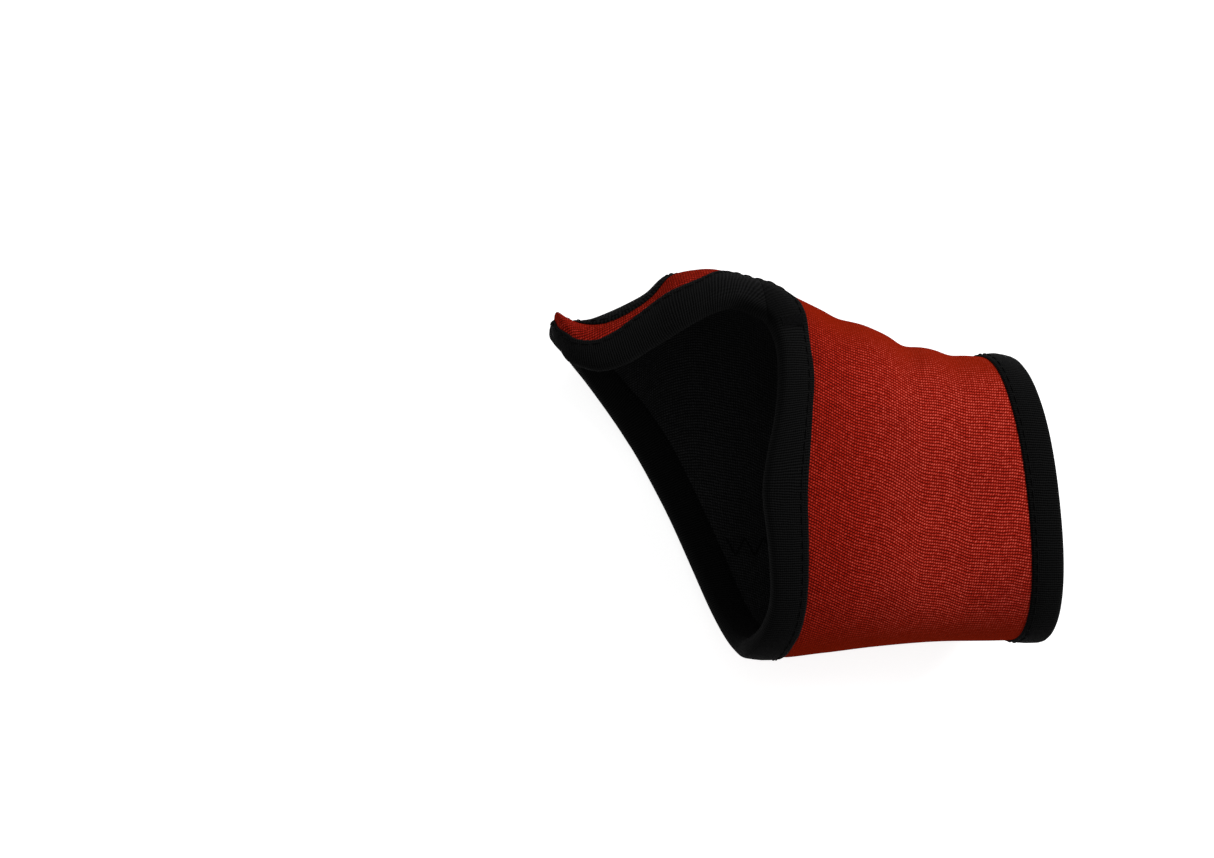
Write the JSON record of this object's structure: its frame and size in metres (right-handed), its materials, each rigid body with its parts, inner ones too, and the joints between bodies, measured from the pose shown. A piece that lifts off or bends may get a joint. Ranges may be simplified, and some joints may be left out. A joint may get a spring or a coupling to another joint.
{
  "type": "wrist guard",
  "caption": "Pull-on stretch wrist guard with a strap through the thumb web, a thumb hole and bound edges, made from laminated foam sheet.",
  "frame": {"origin": "middle of the footprint, on the surface that the back of the guard rests on", "axes": "+X from the fingers to the forearm, +Y from the little finger to the thumb, +Z out of the palm"},
  "size_m": [0.1275, 0.0987, 0.0532],
  "materials": {
    "red_jersey": "fine weft-knit nylon jersey, matt with a slight sheen",
    "black_jersey": "fine black knit jersey, matt",
    "foam": "black closed-cell chloroprene foam, matt",
    "black_tape": "black ribbed elastic fold-over tape, slightly fuzzy",
    "black_thread": "black spun polyester thread",
    "label_satin": "plain pale woven satin label with no marks"
  },
  "bodies": {
    "root": {"outer_face": "red_jersey", "foam_core": "foam", "lining": "black_jersey", "closing_seam_thread": "black_thread", "forearm_binding": "black_tape", "hand_binding": "black_tape", "thumb_binding": "black_tape", "forearm_binding_thread": "black_thread", "hand_binding_thread": "black_thread", "thumb_binding_thread": "black_thread", "forearm_binding_bartack": "black_thread", "hand_binding_bartack": "black_thread", "thumb_binding_bartack": "black_thread", "care_label": "label_satin"}
  },
  "joints": []
}
